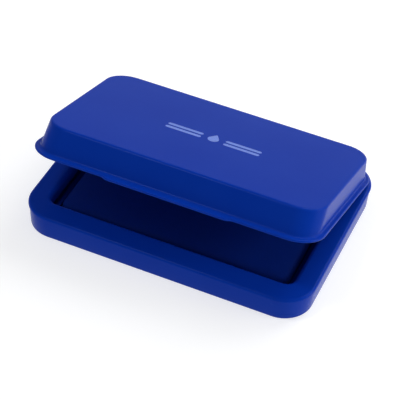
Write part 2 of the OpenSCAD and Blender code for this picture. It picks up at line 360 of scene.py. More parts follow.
class Nodes:
    """A short way to write a material's node tree."""

    def __init__(self, name: str) -> None:
        """Starts a material with a Principled shader and its output.

        Args:
            name: the material's name.
        """
        self.material = bpy.data.materials.new(name)
        self.material.use_nodes = True
        self.tree = self.material.node_tree
        self.tree.nodes.clear()
        self.shader = self.tree.nodes.new("ShaderNodeBsdfPrincipled")
        output = self.tree.nodes.new("ShaderNodeOutputMaterial")
        self.tree.links.new(self.shader.outputs[0], output.inputs["Surface"])
        self.place = self.tree.nodes.new("ShaderNodeTexCoord").outputs["Object"]

    def add(self, kind: str, **inputs: object) -> bpy.types.Node:
        """Adds a node.

        Args:
            kind: the node's type, without its ShaderNode prefix.
            inputs: a value or a socket for each input, by name, with __ for a space; _x sets attribute x.

        Returns:
            The node.
        """
        made = self.tree.nodes.new("ShaderNode" + kind)
        for key, value in inputs.items():
            if key.startswith("_"):
                setattr(made, key[1:], value)
        for key, value in inputs.items():
            if not key.startswith("_"):
                self.feed(made.inputs[key.replace("__", " ")], value)
        return made

    def feed(self, socket: bpy.types.NodeSocket, value: object) -> None:
        """Links a socket to another, or sets its value."""
        if isinstance(value, bpy.types.NodeSocket):
            self.tree.links.new(value, socket)
        else:
            socket.default_value = value

    def math(self, operation: str, a: object, b: object = 0.0) -> bpy.types.NodeSocket:
        """The result of a sum on two numbers or sockets."""
        made = self.tree.nodes.new("ShaderNodeMath")
        made.operation = operation
        self.feed(made.inputs[0], a)
        self.feed(made.inputs[1], b)
        return made.outputs[0]

    def noise(self, scale: float, detail: float = 3.0, rough: float = 0.5) -> bpy.types.NodeSocket:
        """Smooth noise over the piece, from 0 to 1."""
        made = self.add("TexNoise", Vector=self.place, Scale=scale, Detail=detail, Roughness=rough)
        return made.outputs["Fac"]

    def ramp(self, fac: object, low: float, high: float, to_low: float = 0.0, to_high: float = 1.0
             ) -> bpy.types.NodeSocket:
        """Maps a value from one range to another, clamped."""
        return self.add("MapRange", Value=fac, From__Min=low, From__Max=high, To__Min=to_low,
                        To__Max=to_high).outputs["Result"]

    def blend(self, fac: object, a: object, b: object) -> bpy.types.NodeSocket:
        """Mixes two colours."""
        made = self.add("MixRGB", Fac=fac)
        for socket, value in ((made.inputs[1], a), (made.inputs[2], b)):
            self.feed(socket, value if isinstance(value, bpy.types.NodeSocket) else (*value, 1.0))
        return made.outputs[0]

    def bump(self, height: object, distance: float, strength: float = 1.0,
             under: Optional[bpy.types.NodeSocket] = None) -> bpy.types.NodeSocket:
        """A bump normal from a height, over another bump if one is given."""
        made = self.add("Bump", Height=height, Distance=distance, Strength=strength)
        if under is not None:
            self.feed(made.inputs["Normal"], under)
        return made.outputs["Normal"]

    def finish(self, **inputs: object) -> bpy.types.Material:
        """Sets the shader's inputs and returns the material."""
        for key, value in inputs.items():
            name = key.replace("__", " ")
            if isinstance(value, tuple) and len(value) == 3:
                value = (*value, 1.0)
            self.feed(self.shader.inputs[name], value)
        return self.material


@dataclass(frozen=True)
class MouldedPlastic:
    """Moulded plastic with a satin skin: slight sink, fine grain and faint rub marks.

    Args:
        name: the material's name.
        colour: its colour, linear.
        worn: its colour where it is rubbed, linear.
        gloss: roughness of the clean skin.
        specular: specular level of the skin.
        tint: colour of its highlights.
    """

    name: str
    colour: tuple[float, float, float]
    worn: tuple[float, float, float]
    gloss: float = 0.25
    specular: float = 0.07
    tint: tuple[float, float, float] = (0.50, 0.66, 1.0)

    def make(self) -> bpy.types.Material:
        """Builds the material."""
        n = Nodes(self.name)
        cloud = n.noise(38, 4, 0.55)
        smear = n.add("TexNoise", Vector=n.add("Mapping", Vector=n.place, Rotation=(0, 0, 0.5),
                                               Scale=(60, 620, 220)).outputs[0],
                      Scale=1.0, Detail=5, Roughness=0.6).outputs["Fac"]
        grain = n.noise(5200, 2, 0.5)
        sink = n.noise(30, 1, 0.4)
        rubbed = n.ramp(smear, 0.6, 0.82)
        colour = n.blend(n.math("MULTIPLY", n.ramp(cloud, 0.3, 0.75), 0.35), self.colour, self.worn)
        colour = n.blend(n.math("MULTIPLY", rubbed, 0.25), colour, self.worn)
        rough = n.math("ADD", self.gloss, n.math("MULTIPLY", n.math("SUBTRACT", cloud, 0.5), 0.10))
        rough = n.math("ADD", rough, n.math("MULTIPLY", rubbed, 0.04))
        normal = n.bump(sink, 0.05 * MM, 0.25)
        normal = n.bump(grain, 0.004 * MM, 0.5, normal)
        return n.finish(Base__Color=colour, Roughness=rough, Normal=normal, IOR=1.46,
                        Specular__IOR__Level=self.specular, Specular__Tint=self.tint)


@dataclass(frozen=True)
class InkedCloth:
    """Close plain-weave cloth soaked with ink.

    Args:
        name: the material's name.
        colour: colour of the soaked thread, linear.
        proud_colour: colour of thread where the weave stands high, lighter than the thread between, linear.
        pitch: distance between threads.
        stray: how far a thread strays from straight.
    """

    name: str
    colour: tuple[float, float, float]
    proud_colour: tuple[float, float, float]
    pitch: float = 0.42 * MM
    stray: float = 0.12 * MM

    def make(self) -> bpy.types.Material:
        """Builds the material."""
        n = Nodes(self.name)
        wander = n.add("TexNoise", Vector=n.place, Scale=160.0, Detail=2.0).outputs["Color"]
        shift = n.add("VectorMath", _operation="SCALE", Scale=self.stray)
        n.feed(shift.inputs[0], wander)
        moved = n.add("VectorMath", _operation="ADD")
        n.feed(moved.inputs[0], n.place)
        n.feed(moved.inputs[1], shift.outputs[0])
        axes = n.add("SeparateXYZ", Vector=moved.outputs[0])
        turn = math.pi / self.pitch
        warp = n.math("SINE", n.math("MULTIPLY", axes.outputs["X"], turn))
        weft = n.math("SINE", n.math("MULTIPLY", axes.outputs["Y"], turn))
        over = n.math("MULTIPLY", warp, weft)
        round_x = n.math("ABSOLUTE", warp)
        round_y = n.math("ABSOLUTE", weft)
        rounds = n.math("MULTIPLY", n.math("ADD", round_x, round_y), 0.4)
        height = n.math("ADD", n.math("MULTIPLY", over, 0.5), rounds)
        soak = n.noise(55, 4, 0.6)
        blot = n.noise(14, 3, 0.5)
        fuzz = n.noise(9000, 2, 0.6)
        # thread is drawn lighter where the weave stands high and darker between threads, from the same height
        # as the bump
        proud = n.ramp(height, 0.1, 1.2)
        colour = n.blend(n.math("MULTIPLY", proud, n.ramp(soak, 0.3, 0.7, 0.25, 0.8)), self.colour, self.proud_colour)
        deep = tuple(0.45 * c for c in self.colour)
        colour = n.blend(n.ramp(blot, 0.45, 0.72, 0.0, 0.5), colour, deep)
        rough = n.ramp(soak, 0.25, 0.75, 0.52, 0.74)
        normal = n.bump(height, 0.06 * MM, 0.7)
        normal = n.bump(fuzz, 0.01 * MM, 0.4, normal)
        return n.finish(Base__Color=colour, Roughness=rough, Normal=normal, Specular__IOR__Level=0.08,
                        Sheen__Weight=0.03, Sheen__Roughness=0.45, Sheen__Tint=(0.25, 0.35, 0.9))


@dataclass(frozen=True)
class Fibre:
    """Felt, sponge, paper or rubber: one colour broken up by pores or fibres.

    Args:
        name: the material's name.
        colour: its colour, linear.
        dark: the colour in its pores, linear.
        grain: size of the pores, as a noise scale.
        depth: depth of the pores.
        rough: its roughness.
    """

    name: str
    colour: tuple[float, float, float]
    dark: tuple[float, float, float]
    grain: float
    depth: float
    rough: float = 0.85

    def make(self) -> bpy.types.Material:
        """Builds the material."""
        n = Nodes(self.name)
        pores = n.noise(self.grain, 5, 0.65)
        patch = n.noise(45, 3, 0.5)
        colour = n.blend(n.ramp(pores, 0.35, 0.65), self.dark, self.colour)
        colour = n.blend(n.ramp(patch, 0.4, 0.7, 0.0, 0.3), colour, self.dark)
        rough = n.ramp(pores, 0.3, 0.7, self.rough - 0.08, self.rough + 0.06)
        return n.finish(Base__Color=colour, Roughness=rough, Normal=n.bump(pores, self.depth, 0.6))


@dataclass(frozen=True)
class DrawnSteel:
    """Drawn steel wire, with fine lines along it.

    Args:
        name: the material's name.
        colour: its colour, linear.
    """

    name: str
    colour: tuple[float, float, float]

    def make(self) -> bpy.types.Material:
        """Builds the material."""
        n = Nodes(self.name)
        lines = n.add("TexNoise", Vector=n.add("Mapping", Vector=n.place, Scale=(80, 9000, 9000)).outputs[0],
                      Scale=1.0, Detail=3).outputs["Fac"]
        dull = tuple(0.6 * c for c in self.colour)
        return n.finish(Base__Color=n.blend(n.ramp(lines, 0.35, 0.7), self.colour, dull), Metallic=1.0,
                        Roughness=n.ramp(lines, 0.3, 0.7, 0.22, 0.38), Normal=n.bump(lines, 0.01 * MM, 0.5))


FINISHES = {
    Slot.CASE: MouldedPlastic("satin_blue", (0.0010, 0.030, 0.330), (0.004, 0.042, 0.380)),
    Slot.LINER: MouldedPlastic("matte_blue", (0.0015, 0.022, 0.260), (0.004, 0.032, 0.30), 0.5, 0.2),
    Slot.PAN: MouldedPlastic("pan_blue", (0.001, 0.018, 0.200), (0.003, 0.026, 0.25), 0.4, 0.12),
    Slot.CLOTH: InkedCloth("inked_weave", (0.0008, 0.024, 0.240), (0.0018, 0.034, 0.350)),
    Slot.SPONGE: Fibre("open_sponge", (0.006, 0.012, 0.14), (0.001, 0.002, 0.03), 1400, 0.3 * MM),
    Slot.FELT: Fibre("pressed_felt", (0.004, 0.010, 0.12), (0.001, 0.003, 0.04), 2600, 0.1 * MM),
    Slot.PIN: DrawnSteel("steel_wire", (0.55, 0.55, 0.57)),
    Slot.LABEL: Fibre("label_paper", (0.80, 0.82, 0.85), (0.68, 0.70, 0.74), 3200, 0.01 * MM, 0.7),
    Slot.SEAL: Fibre("seal_rubber", (0.020, 0.022, 0.030), (0.012, 0.013, 0.018), 2400, 0.01 * MM, 0.6),
}


def place_piece(piece: bpy.types.Object, body: str, slot: Slot, *nodes: str) -> bpy.types.Object:
    """Dresses a finished piece and fixes it to its body.

    Args:
        piece: the object.
        body: the body that it rides on.
        slot: the slot whose finish it wears.
        nodes: the frame's nodes that it stands for.

    Returns:
        The piece.
    """
    piece.data.materials.clear()
    piece.data.materials.append(dressed(slot))
    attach(piece, body)
    if nodes:
        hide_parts(*nodes)
    LOG.info("%s: %d faces, on %s, in %s", piece.name, len(piece.data.polygons), body, slot.value)
    return piece


def dressed(slot: Slot) -> bpy.types.Material:
    """The material of a slot, made once."""
    return bpy.data.materials.get(FINISHES[slot].name) or FINISHES[slot].make()


# ---------------------------------------------------------------- sizes shared by the sub-assemblies

@dataclass(frozen=True)
class Body:
    """The tray and bezel's overall sizes, read from the frame.

    Args:
        plan: the bezel's outline.
        seam: height of the seam under the bezel.
        face: height of the bezel's face.
        hinge: a point on the hinge axis, in the middle of the body.
        open_deg: how far open the lid is at rest.
    """

    plan: Plan
    seam: float
    face: float
    hinge: Vector
    open_deg: float

    @staticmethod
    def read() -> "Body":
        """Takes the sizes from the frame's nodes and joint."""
        low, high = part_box("bezel_frame")
        joint = frame["joints"][0]
        return Body(plan=Plan(high[0], low[1], high[1], BODY_CORNER), seam=high[2] - BEZEL_T, face=high[2],
                    hinge=Vector(joint["pos_m"]), open_deg=-joint["range_deg"][0])

    def opened(self) -> Matrix:
        """Turns a shut lid to where it stands at rest."""
        turn = Matrix.Rotation(math.radians(-self.open_deg), 4, "X")
        return Matrix.Translation(self.hinge) @ turn @ Matrix.Translation(-self.hinge)


@dataclass(frozen=True)
class HingeFit:
    """Where the two hinges stand, worked out from their pins in the frame.

    Args:
        ear_r: radius of the tray's ears.
        ear_w: width of each ear.
        knuckle_r: radius of the lid's knuckles.
        gap: gap at each end of a knuckle and round a hinge.
    """

    ear_r: float = 1.8 * MM
    ear_w: float = 3 * MM
    knuckle_r: float = 1.6 * MM
    gap: float = 0.35 * MM

    def span(self, side: Side) -> tuple[float, float]:
        """The X at which a hinge's pin starts and ends."""
        low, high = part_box(f"hinge_pin_{side.name.lower()}")
        return low[0], high[0]

    def slot_tool(self, side: Side, body: Body, low_z: float, high_z: float) -> bpy.types.Object:
        """The block that clears the slot in which a hinge stands.

        Args:
            side: which hinge.
            body: the body's sizes.
            low_z: the slot's floor.
            high_z: the slot's top.

        Returns:
            The cutting tool.
        """
        start, end = self.span(side)
        front = body.hinge.y - self.ear_r - self.gap
        return block("slot", (start - self.gap, front, low_z),
                     (end + self.gap, body.plan.rear + PAST, high_z))


# ---------------------------------------------------------------- the base

@dataclass
class Tray:
    """The tray: floor, leaning wall, ribs under the pan and the ears of the hinges."""

    body: Body
    hinges: HingeFit
    overhang: float = 0.35 * MM       # how far the bezel's edge stands out over the wall
    draft: float = 0.35 * MM          # how far the wall leans in at the bottom
    wall: float = 1.8 * MM            # the wall's thickness
    floor: float = 1.2 * MM           # the floor's thickness
    foot: float = 0.5 * MM            # rounding of the bottom edge
    rim: float = 0.12 * MM            # rounding of the wall's top edge
    rib_h: float = 0.5 * MM           # the ribs' height
    rib_w: float = 1.2 * MM           # the ribs' width
    rib_margin: float = 4 * MM        # from the pan's edge to a rib's end
    recess_corner: float = 2.1 * MM   # corners of the label's recess
    root_depth: float = 2 * MM        # how far an ear's root starts below the seam
    root_top: float = 0.85 * MM       # from the hinge axis down to a root's top

    def build(self) -> bpy.types.Object:
        """Builds the tray and puts it on the base."""
        shell = self.shell()
        self.recess(shell)
        pieces = [shell, *self.ribs()]
        for side in Side:
            pieces += self.ears(side)
        return place_piece(join(pieces, "tray"), "base", Slot.CASE, "base_tray")

    def shell(self) -> bpy.types.Object:
        """The floor and wall as one skin."""
        top = self.body.plan.inset(self.overhang)
        foot = top.inset(self.draft)
        room = foot.inset(self.wall)
        high, rim, cove = self.body.seam, self.rim, 0.5 * MM
        skin = Loft()
        skin.add(foot.inset(12 * MM), 0.0).add(foot.inset(self.foot + cove), 0.0)
        skin.edge((foot.inset(self.foot), 0.0), (foot, 0.0), (foot.mix(top, 0.09), self.foot))
        skin.edge((top, high - rim), (top, high), (top.inset(rim), high))
        skin.edge((room.inset(-rim), high), (room, high), (room, high - rim))
        skin.edge((room, self.floor + cove), (room, self.floor), (room.inset(cove), self.floor))
        skin.add(room.inset(12 * MM), self.floor)
        return skin.mesh("tray_shell")

    def recess(self, shell: bpy.types.Object) -> None:
        """Cuts the label's shallow recess in the underside."""
        low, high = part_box("base_label")
        outline = Plan(high[0] + FIT_GAP, low[1] - FIT_GAP, high[1] + FIT_GAP, self.recess_corner)
        tool = Loft().add(outline, -1 * MM).add(outline, high[2]).mesh("recess")
        cut(shell, tool)

    def ribs(self) -> list[bpy.types.Object]:
        """The ribs that the pan stands on."""
        low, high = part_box("pad_pan")
        pitch = (high[0] - low[0]) / 8
        soft, sunk = 0.12 * MM, 0.2 * MM
        made = []
        for i in range(-3, 4):
            x = i * pitch
            made.append(block(f"rib_{i + 3}",
                              (x - self.rib_w / 2, low[1] + self.rib_margin, self.floor - sunk),
                              (x + self.rib_w / 2, high[1] - self.rib_margin, self.floor + self.rib_h), soft))
        return made

    def ears(self, side: Side) -> list[bpy.types.Object]:
        """One hinge's two ears with their roots.

        Args:
            side: which hinge.

        Returns:
            The ears and roots.
        """
        start, end = self.hinges.span(side)
        width, r = self.hinges.ear_w, self.hinges.ear_r
        axis = self.body.hinge
        made = []
        for low_x in (start, end - width):
            middle = Vector((low_x + width / 2, axis.y, axis.z))
            made.append(round_bar("ear", middle, width / 2, r, 0.25 * MM))
            rear = axis.y + r - self.hinges.gap
            made.append(block("ear_root", (low_x, axis.y - r, self.body.seam - self.root_depth),
                              (low_x + width, rear, axis.z - self.root_top), 0.2 * MM))
        return made


@dataclass
class Bezel:
    """The bezel: a flat frame with a rounded edge, a lip into the opening and a skirt in the tray."""

    body: Body
    hinges: HingeFit
    side: float = 7.75 * MM           # width of the face at each end
    end: float = 8.8 * MM             # width of the face at the front and back
    opening_r: float = 3.2 * MM       # corners of the opening
    outer_round: float = 1.0 * MM     # rounding of the outer edge
    lip_round: float = 1.5 * MM       # rounding of the lip's edge
    lip: float = 1.2 * MM             # the lip's thickness
    lip_depth: float = 4.2 * MM       # how far the lip reaches down
    skirt_in: float = 2.62 * MM       # from the bezel's edge to the skirt
    skirt: float = 1.1 * MM           # the skirt's thickness
    skirt_depth: float = 2 * MM       # how far the skirt reaches down

    def opening(self) -> Plan:
        """The outline of the pad opening."""
        out = self.body.plan
        return Plan(out.half - self.side, out.front + self.end, out.rear - self.end, self.opening_r)

    def build(self) -> bpy.types.Object:
        """Builds the bezel and puts it on the base."""
        out, hole = self.body.plan, self.opening()
        face, under = self.body.face, self.body.seam + 0.05 * MM
        tiny, shelf = 0.15 * MM, 0.4 * MM
        skirt_out = out.inset(self.skirt_in)
        skirt_in = skirt_out.inset(self.skirt)
        low = self.body.seam - self.skirt_depth
        deep = face - self.lip_depth
        ring = Loft()
        ring.edge((out.inset(tiny), under), (out, under), (out, under + tiny))
        ring.edge((out, face - self.outer_round), (out, face), (out.inset(self.outer_round), face))
        ring.add(out.inset(self.outer_round + shelf), face)
        ring.add(hole.inset(-self.lip_round - shelf), face)
        ring.edge((hole.inset(-self.lip_round), face), (hole, face), (hole, face - self.lip_round))
        ring.edge((hole, deep + tiny), (hole, deep), (hole.inset(-tiny), deep))
        ring.edge((hole.inset(tiny - self.lip), deep), (hole.inset(-self.lip), deep),
                  (hole.inset(-self.lip), deep + tiny))
        ring.add(hole.inset(-self.lip), under)
        ring.add(skirt_in, under)
        ring.edge((skirt_in, low + tiny), (skirt_in, low), (skirt_in.inset(-tiny), low))
        ring.edge((skirt_out.inset(tiny), low), (skirt_out, low), (skirt_out, low + tiny))
        ring.add(skirt_out, under)
        frame_piece = ring.mesh("bezel", closed=True)
        for side in Side:
            cut(frame_piece, self.hinges.slot_tool(side, self.body, low - 1 * MM, face + 1 * MM))
        return place_piece(frame_piece, "base", Slot.CASE, "bezel_frame")


@dataclass
class HingePins:
    """The two wire pins."""

    body: Body
    hinges: HingeFit

    def build(self) -> None:
        """Builds both pins and puts them on the base."""
        for side in Side:
            name = f"hinge_pin_{side.name.lower()}"
            low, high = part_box(name)
            r, half = (high[1] - low[1]) / 2, (high[0] - low[0]) / 2
            centre = Vector(((low[0] + high[0]) / 2, self.body.hinge.y, self.body.hinge.z))
            pin = round_bar(f"pin_{side.name.lower()}", centre, half, r, 0.2 * MM)
            place_piece(pin, "base", Slot.PIN, name)


@dataclass
class Label:
    """The blank paper label in the tray's recess."""

    corner: float = 2 * MM

    def build(self) -> bpy.types.Object:
        """Builds the label and puts it on the base."""
        low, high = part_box("base_label")
        outline = Plan(high[0], low[1], high[1], self.corner)
        soft = 0.05 * MM
        sheet = Loft()
        sheet.add(outline.inset(1 * MM), low[2])
        sheet.edge((outline.inset(soft), low[2]), (outline, low[2]), (outline, low[2] + soft))
        sheet.add(outline, high[2])
        return place_piece(sheet.mesh("label"), "base", Slot.LABEL, "base_label")


# ---------------------------------------------------------------- the inking pad

@dataclass
class InkingPad:
    """Pan, sponge, felt, cloth and the ring that holds the cloth down."""

    corner: float = 2.9 * MM          # the cloth's corners seen from above
    shoulder: float = 1.9 * MM        # rounding of the cloth's top edge
    swell: float = 0.22 * MM          # the most that the cloth may swell
    pan_corner: float = 5.1 * MM      # the pan's corners
    pan_wall: float = 0.7 * MM        # the pan's wall and floor
    core_corner: float = 2.3 * MM     # the sponge and felt's corners
    ring_corner: float = 4.7 * MM     # the cloth ring's corners
    ring_width: float = 1.7 * MM      # the cloth ring's width
    sim_scale: float = 10.0           # the cloth is simulated this much enlarged
    sim_frames: int = 18              # frames that the simulation runs for
    voxel: float = 1.1 * MM           # size of the even mesh that is simulated

    def build(self) -> None:
        """Builds every layer, from the pan up."""
        self.pan()
        self.core("sponge", "ink_sponge", Slot.SPONGE, 0.35 * MM)
        self.core("felt", "felt_layer", Slot.FELT, 0.25 * MM)
        self.cloth()
        self.retainer()

    def pan(self) -> bpy.types.Object:
        """The shallow pan that holds the ink."""
        low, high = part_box("pad_pan")
        outline = Plan(high[0], low[1], high[1], self.pan_corner)
        wall, soft = self.pan_wall, 0.3 * MM
        inner = outline.inset(wall)
        skin = Loft()
        skin.add(outline.inset(3 * MM), low[2])
        skin.side(outline, low[2], high[2], soft)
        skin.edge((inner, high[2]), (inner, high[2]), (inner, high[2] - soft))
        skin.edge((inner, low[2] + wall + soft), (inner, low[2] + wall), (inner.inset(soft), low[2] + wall))
        return place_piece(skin.mesh("pan"), "base", Slot.PAN, "pad_pan")

    def core(self, name: str, node: str, slot: Slot, soft: float) -> bpy.types.Object:
        """A soft layer inside the cloth, with its corners and edges eased.

        Args:
            name: the piece's name.
            node: the frame's node that it stands for.
            slot: its material slot.
            soft: rounding of its edges.

        Returns:
            The piece.
        """
        low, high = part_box(node)
        outline = Plan(high[0], low[1], high[1], self.core_corner)
        middle = outline.inset(6 * MM)
        skin = Loft().add(middle, low[2]).side(outline, low[2], high[2], soft).add(middle, high[2])
        piece = place_piece(skin.mesh(name), "base", slot, node)
        return piece

    def cloth(self) -> bpy.types.Object:
        """The inked cloth, swollen a little over the felt by a cloth simulation."""
        low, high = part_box("pad_cloth")
        ring_low, ring_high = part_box("cloth_retainer")
        reach = self.ring_width + FIT_GAP
        outline = Plan(ring_high[0] - reach, ring_low[1] + reach, ring_high[1] - reach, self.corner)
        base_z, top_z = low[2] + 0.3 * MM, high[2] - self.swell
        start, soft = outline.inset(self.swell), 0.4 * MM
        skin = Loft()
        skin.edge((start.inset(soft), base_z), (start, base_z), (start, base_z + soft))
        skin.edge((start, top_z - self.shoulder), (start, top_z), (start.inset(self.shoulder), top_z))
        piece = skin.mesh("inking_cloth")
        self.swell_cloth(piece, outline, base_z, high[2])
        place_piece(piece, "base", Slot.CLOTH, "pad_cloth")
        return piece

    def swell_cloth(self, piece: bpy.types.Object, limit: Plan, floor_z: float, top_z: float) -> None:
        """Runs the simulation on an enlarged copy and keeps its result inside the pad's limits.

        Args:
            piece: the cloth as a closed skin.
            limit: the outline that it may reach.
            floor_z: height of its underside, which stays put.
            top_z: height that it may reach.
        """
        scene = bpy.context.scene
        remesh = piece.modifiers.new("even", "REMESH")
        remesh.mode = "VOXEL"
        remesh.voxel_size = self.voxel
        bake_modifiers(piece)
        piece.data.transform(Matrix.Scale(self.sim_scale, 4))
        held = piece.vertex_groups.new(name="held")
        grip = (floor_z + 0.6 * MM) * self.sim_scale
        held.add([v.index for v in piece.data.vertices if v.co.z < grip], 1.0, "REPLACE")
        rest = [v.co.copy() for v in piece.data.vertices]
        step = piece.modifiers.new("cloth", "CLOTH")
        step.settings.vertex_group_mass = "held"
        step.settings.quality = 6
        step.settings.tension_stiffness = 40
        step.settings.compression_stiffness = 40
        step.settings.bending_stiffness = 2
        step.settings.use_pressure = True
        step.settings.uniform_pressure_force = 1.2
        step.settings.effector_weights.gravity = 0
        step.collision_settings.use_collision = False
        step.point_cache.frame_start = 1
        step.point_cache.frame_end = self.sim_frames
        for number in range(1, self.sim_frames + 1):
            scene.frame_set(number)
        bake_modifiers(piece)
        most = self.swell * self.sim_scale
        for v, start in zip(piece.data.vertices, rest):
            moved = v.co - start
            if moved.length > most:
                v.co = start + moved * (most / moved.length)
            v.co.z = min(v.co.z, top_z * self.sim_scale)
        piece.data.transform(Matrix.Scale(1 / self.sim_scale, 4))
        scene.frame_set(1)
        smooth = piece.modifiers.new("even_out", "SMOOTH")
        smooth.factor = 0.5
        smooth.iterations = 3
        rounder = piece.modifiers.new("finer", "SUBSURF")
        rounder.levels = rounder.render_levels = 1
        bake_modifiers(piece)
        piece.data.shade_smooth()
        for v in piece.data.vertices:
            v.co.x = max(-limit.half, min(limit.half, v.co.x))
            v.co.y = max(limit.front, min(limit.rear, v.co.y))

    def retainer(self) -> bpy.types.Object:
        """The ring in the gutter that holds the cloth's hem."""
        low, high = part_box("cloth_retainer")
        outline = Plan(high[0], low[1], high[1], self.ring_corner)
        inner = outline.inset(self.ring_width)
        soft = 0.25 * MM
        ring = Loft().side(outline, low[2], high[2], soft)
        ring.edge((inner.inset(-soft), high[2]), (inner, high[2]), (inner, high[2] - soft))
        ring.edge((inner, low[2] + soft), (inner, low[2]), (inner.inset(-soft), low[2]))
        return place_piece(ring.mesh("cloth_ring", closed=True), "base", Slot.PAN, "cloth_retainer")


# ---------------------------------------------------------------- the lid

@dataclass
class Lid:
    """The domed lid with its flange, finger lip and knuckles, its inner lid and its seal."""

    body: Body
    hinges: HingeFit
    height: float = 9.5 * MM          # from the bezel's face to the shut lid's top
    wall: float = 1.2 * MM            # the shell's thickness
    flange_t: float = 0.9 * MM        # the flange's thickness
    side_in: float = 0.6 * MM         # from the body's edge to the flange's, at the sides
    front_in: float = 1.9 * MM        # the same at the front
    rear_in: float = 2.9 * MM         # the same at the hinge side
    reach_side: float = 1.7 * MM      # from the flange's edge to the wall's foot, at the sides
    reach_front: float = 2.2 * MM     # the same at the front
    reach_rear: float = 1.9 * MM      # the same at the hinge side
    lean_side: float = 0.5 * MM       # how far the side walls lean in
    lean_front: float = 4.3 * MM      # the same at the front
    lean_rear: float = 1.8 * MM       # the same at the hinge side
    crown_r: float = 9.0 * MM         # corners of the top
    crown: float = 0.7 * MM           # rounding of the top's edge
    root: float = 0.6 * MM            # rounding where the wall meets the flange
    close_gap: float = 0.15 * MM      # gap over the bezel when shut
    finger_w: float = 47 * MM         # the finger lip's width
    finger_out: float = 1.2 * MM      # how far it stands out
    finger_ramp: float = 2 * MM       # length of its sloping ends
    liner_depth: float = 2.6 * MM     # from the rim up to the inner lid
    liner_t: float = 0.9 * MM         # the inner lid's thickness
    seal_t: float = 1.0 * MM          # the seal's width
    seal_out: float = 0.5 * MM        # from the pad opening to the seal

    def flange(self) -> Plan:
        """The flange's outline."""
        out = self.body.plan
        return Plan(out.half - self.side_in, out.front + self.front_in, out.rear - self.rear_in,
                    out.radius - self.side_in)

    def foot(self) -> Plan:
        """The wall's outline at its foot."""
        f = self.flange()
        return Plan(f.half - self.reach_side, f.front + self.reach_front, f.rear - self.reach_rear,
                    f.radius - self.reach_side)

    def top(self) -> Plan:
        """The wall's outline at its top."""
        f = self.foot()
        return Plan(f.half - self.lean_side, f.front + self.lean_front, f.rear - self.lean_rear, self.crown_r)

    def rim_z(self) -> float:
        """Height of the rim of the shut lid."""
        return self.body.face + self.close_gap

    def top_z(self) -> float:
        """Height of the top of the shut lid."""
        return self.body.face + self.height

    def lip(self, x: float) -> float:
        """How far the finger lip stands out of the flange at x."""
        t = (self.finger_w / 2 - abs(x)) / self.finger_ramp
        t = max(0.0, min(1.0, t))
        return self.finger_out * t * t * (3 - 2 * t)

    def raise_open(self, piece: bpy.types.Object) -> bpy.types.Object:
        """Turns a piece of the shut lid to where the lid stands at rest."""
        piece.data.transform(self.body.opened())
        return piece

    def build(self) -> None:
        """Builds the shell, the inner lid, the seal and the printed mark."""
        pieces = [self.shell()]
        for side in Side:
            pieces += self.knuckle(side)
        place_piece(self.raise_open(join(pieces, "lid")), "lid", Slot.CASE, "lid_shell")
        self.liner()
        self.seal()
        PrintedMark(self).build()

    def shell(self) -> bpy.types.Object:
        """Dome, wall and flange as one skin, shut."""
        foot, top, flange = self.foot(), self.top(), self.flange()
        rim, high = self.rim_z(), self.top_z()
        flat = rim + self.flange_t
        rise = high - flat
        half_t = self.flange_t / 2
        inner_foot, inner_top = foot.inset(self.wall), top.inset(self.wall)
        ceiling, small = high - self.wall, 0.15 * MM
        skin = Loft()
        skin.add(inner_top.inset(8 * MM), ceiling)
        skin.edge((inner_top.inset(1 * MM), ceiling), (inner_top, ceiling),
                  (inner_foot.mix(inner_top, 0.88), rim + 0.88 * (ceiling - rim)))
        skin.edge((inner_foot.mix(inner_top, 0.03), rim + small), (inner_foot, rim),
                  (inner_foot.inset(-small), rim))
        edge_in = flange.inset(half_t)
        for i in range(2 * ARC_STEPS + 1):
            a = math.pi * (i / (2 * ARC_STEPS) - 0.5)
            skin.add(edge_in.inset(-half_t * math.cos(a)), rim + half_t + half_t * math.sin(a), self.lip)
        skin.add(flange.inset(half_t + 0.1 * MM), flat, self.lip)
        share = self.root / rise
        start = foot.inset(-self.root * 0.8)
        skin.edge((start, flat), (foot, flat), (foot.mix(top, share), flat + share * rise))
        near = 1 - self.crown / rise
        skin.edge((foot.mix(top, near), flat + near * rise), (top, high), (top.inset(self.crown), high))
        skin.add(top.inset(self.crown + 0.5 * MM), high)
        skin.add(top.inset(9 * MM), high)
        made = skin.mesh("lid_shell_skin")
        for side in Side:
            cut(made, self.hinges.slot_tool(side, self.body, rim - 1 * MM, flat + 0.02 * MM))
        return made

    def knuckle(self, side: Side) -> list[bpy.types.Object]:
        """One knuckle and the web that ties it to the flange.

        Args:
            side: which hinge.

        Returns:
            The knuckle and the web.
        """
        start, end = self.hinges.span(side)
        inset = self.hinges.ear_w + self.hinges.gap
        low, high = start + inset, end - inset
        axis, rim = self.body.hinge, self.rim_z()
        middle = Vector(((low + high) / 2, axis.y, axis.z))
        front = axis.y - self.hinges.ear_r - self.hinges.gap - self.flange_t
        return [round_bar("knuckle", middle, (high - low) / 2, self.hinges.knuckle_r, 0.2 * MM),
                block("web", (low, front, rim), (high, axis.y, rim + self.flange_t), 0.12 * MM)]

    def liner(self) -> bpy.types.Object:
        """The inner lid over the pad."""
        low_z = self.rim_z() + self.liner_depth
        bay = self.top_z() - self.wall - self.crown / 2 - self.rim_z()
        share = (self.liner_depth + self.liner_t) / bay
        outline = self.foot().mix(self.top(), share).inset(self.wall + FIT_GAP)
        high_z, soft = low_z + self.liner_t, 0.25 * MM
        panel, groove = outline.inset(6 * MM), 0.3 * MM
        skin = Loft()
        skin.add(panel.inset(1.6 * MM), low_z + groove)
        skin.edge((panel.inset(0.6 * MM), low_z + groove), (panel.inset(0.3 * MM), low_z), (panel, low_z))
        skin.side(outline, low_z, high_z, soft)
        skin.add(outline.inset(8 * MM), high_z)
        pieces = [skin.mesh("inner_lid_plate"), *self.liner_stiffeners(outline, high_z)]
        return place_piece(self.raise_open(join(pieces, "inner_lid")), "lid", Slot.LINER, "lid_liner")

